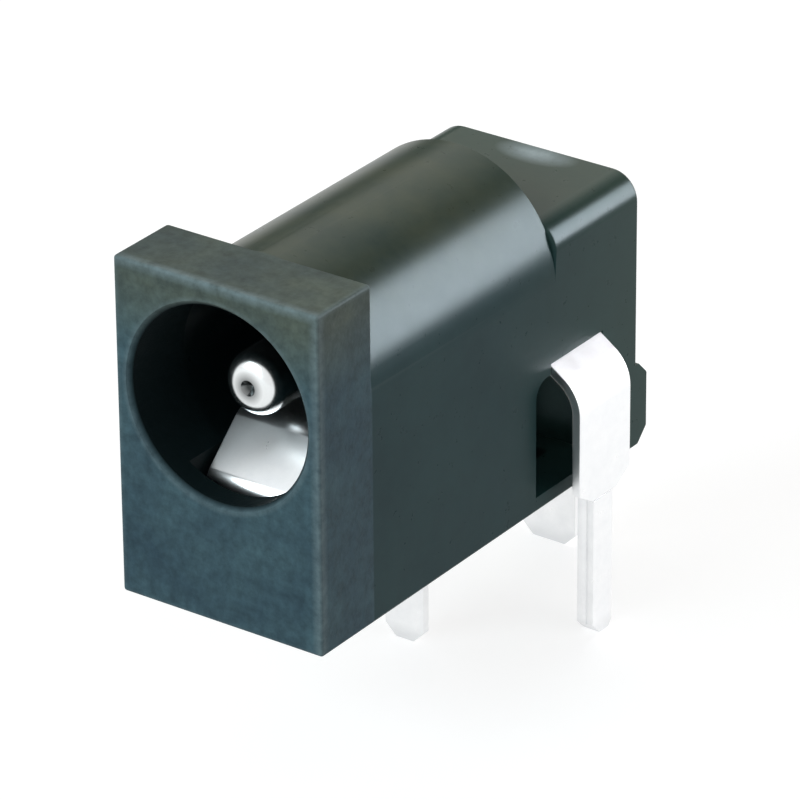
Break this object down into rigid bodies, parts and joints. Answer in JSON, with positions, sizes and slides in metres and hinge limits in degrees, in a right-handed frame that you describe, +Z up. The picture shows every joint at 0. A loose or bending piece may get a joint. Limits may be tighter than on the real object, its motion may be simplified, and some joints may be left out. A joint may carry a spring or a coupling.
{
  "type": "dc barrel jack",
  "caption": "Board-mounted dc power jack: a moulded housing with a round bore round a centre pin, a folded sleeve spring under it and flat solder tails.",
  "frame": {"origin": "on the board plane, at the front face and midway between the sides", "axes": "+X to the right as seen from the mouth, +Y from the front face to the back along the bore, +Z up from the board"},
  "size_m": [0.0084, 0.0178, 0.0157],
  "materials": {
    "housing": "satin moulded, fine grain",
    "pin": "bright plated",
    "strip": "tin plated, satin"
  },
  "bodies": {
    "root": {"housing": "housing", "centre_pin": "pin", "pin_terminal": "strip", "sleeve_spring": "strip", "switch_terminal": "strip"}
  },
  "joints": []
}
